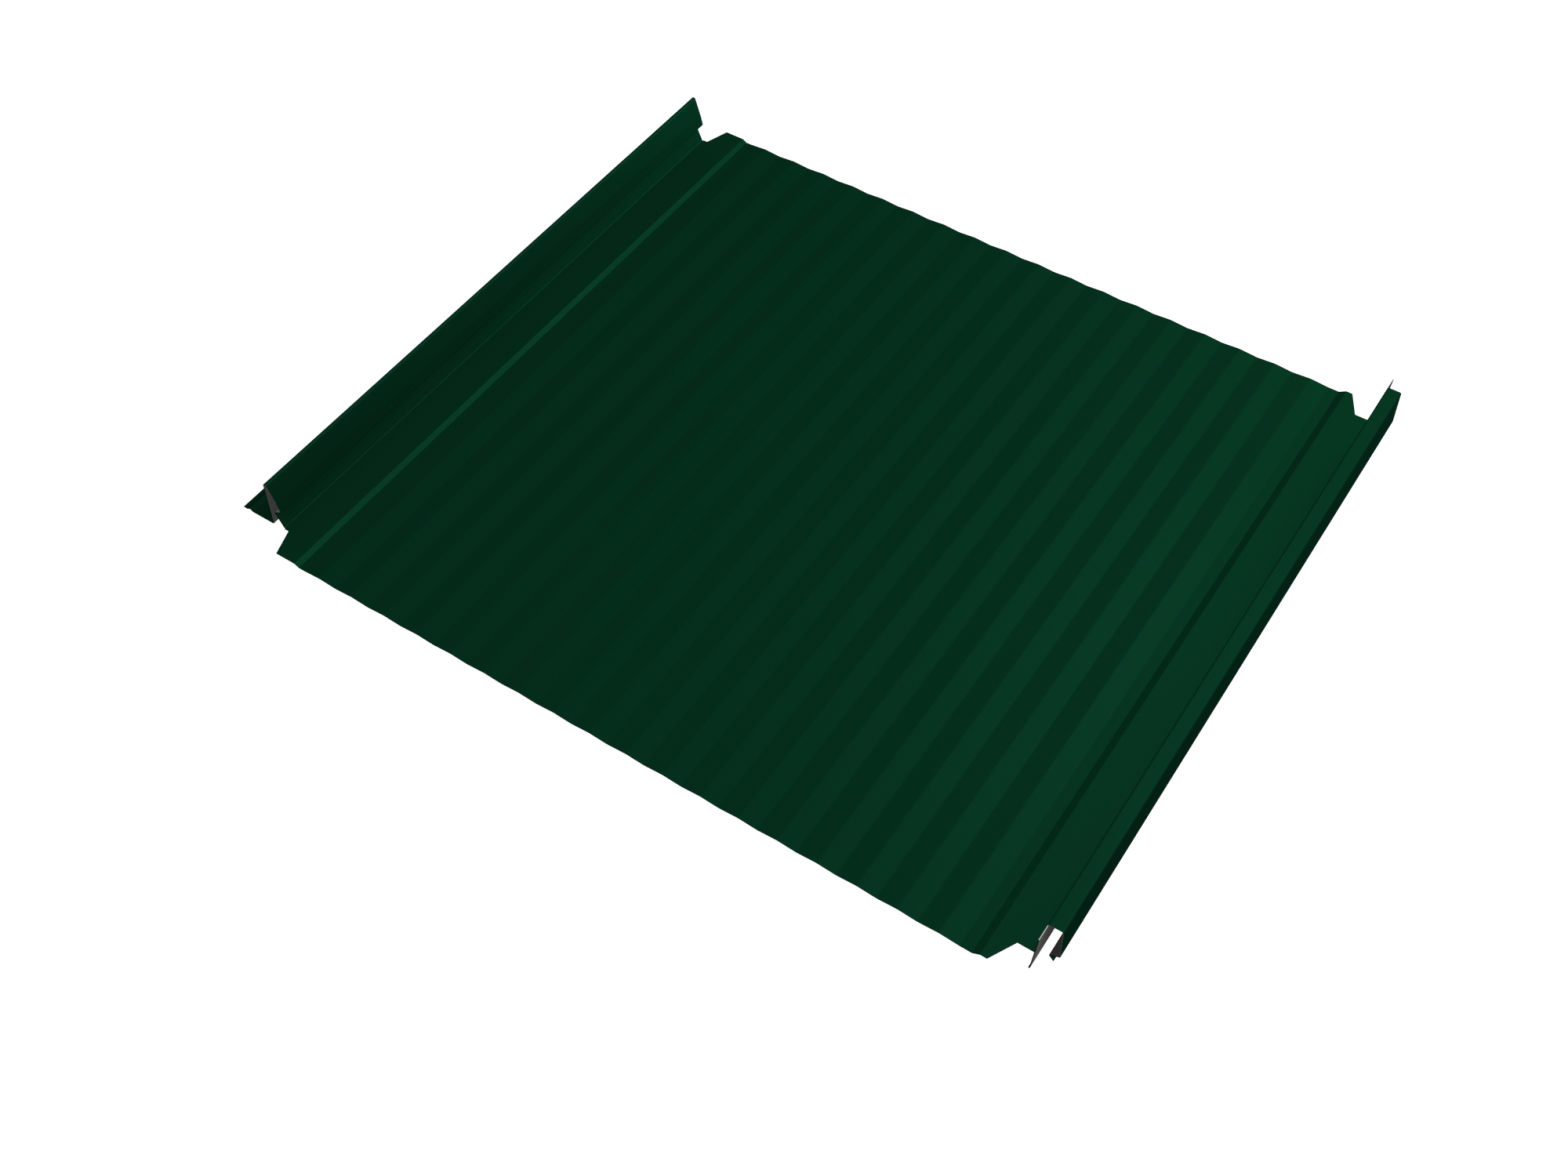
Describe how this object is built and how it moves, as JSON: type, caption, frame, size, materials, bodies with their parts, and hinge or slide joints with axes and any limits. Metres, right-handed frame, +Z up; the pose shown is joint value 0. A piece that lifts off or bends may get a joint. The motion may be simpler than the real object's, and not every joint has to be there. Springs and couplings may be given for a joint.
{
  "type": "standing seam roof panel",
  "caption": "Roll-formed painted steel roof panel with a finely corrugated pan, a click-lock male rib with a screw flange on one side and a hooked female rib on the other.",
  "frame": {"origin": "middle of the panel's plan, on the plane that the flange and the pan rest on", "axes": "+X across the panel from the male rib to the female rib, +Y along the ribs, +Z up out of the painted face"},
  "size_m": [0.5004, 0.4244, 0.0337],
  "materials": {
    "green_paint": "matt moss green coil coating outside, grey coat on the back, dark touched-up cut ends"
  },
  "bodies": {
    "root": {"panel_sheet": "green_paint"}
  },
  "joints": []
}
